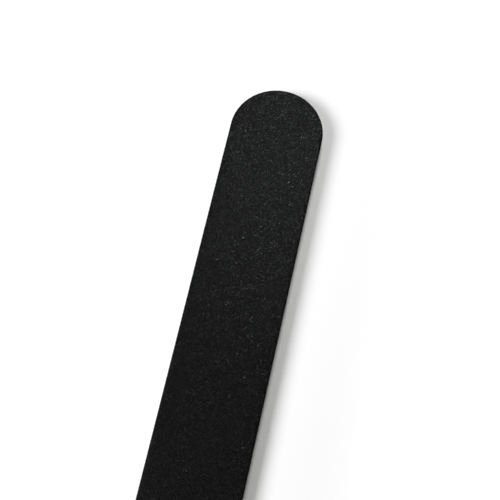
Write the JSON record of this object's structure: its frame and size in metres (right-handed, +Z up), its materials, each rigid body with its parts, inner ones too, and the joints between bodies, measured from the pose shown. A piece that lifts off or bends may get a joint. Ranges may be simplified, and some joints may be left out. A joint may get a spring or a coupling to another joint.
{
  "type": "emery board",
  "caption": "Straight cushioned nail file with half-round ends: a plastic core between foam cushions, faced with coarse abrasive on the front and fine abrasive on the back.",
  "frame": {"origin": "under the middle of the board, on the fine face that it rests on", "axes": "+X along the board, +Y across it, +Z up through the layers to the coarse face"},
  "size_m": [0.178, 0.019, 0.0039],
  "materials": {
    "core_plastic": "satin",
    "adhesive_film": "gloss",
    "cushion_foam": "matte",
    "backing_paper": "matte",
    "bond_resin": "satin",
    "coarse_grain": "matte",
    "fine_grain": "matte"
  },
  "bodies": {
    "root": {"core": "core_plastic", "core_adhesive_front": "adhesive_film", "core_adhesive_back": "adhesive_film", "foam_front": "cushion_foam", "foam_back": "cushion_foam", "paper_adhesive_front": "adhesive_film", "paper_adhesive_back": "adhesive_film", "backing_front": "backing_paper", "backing_back": "backing_paper", "bond_coat_front": "bond_resin", "bond_coat_back": "bond_resin", "grit_front": "coarse_grain", "grit_back": "fine_grain"}
  },
  "joints": []
}
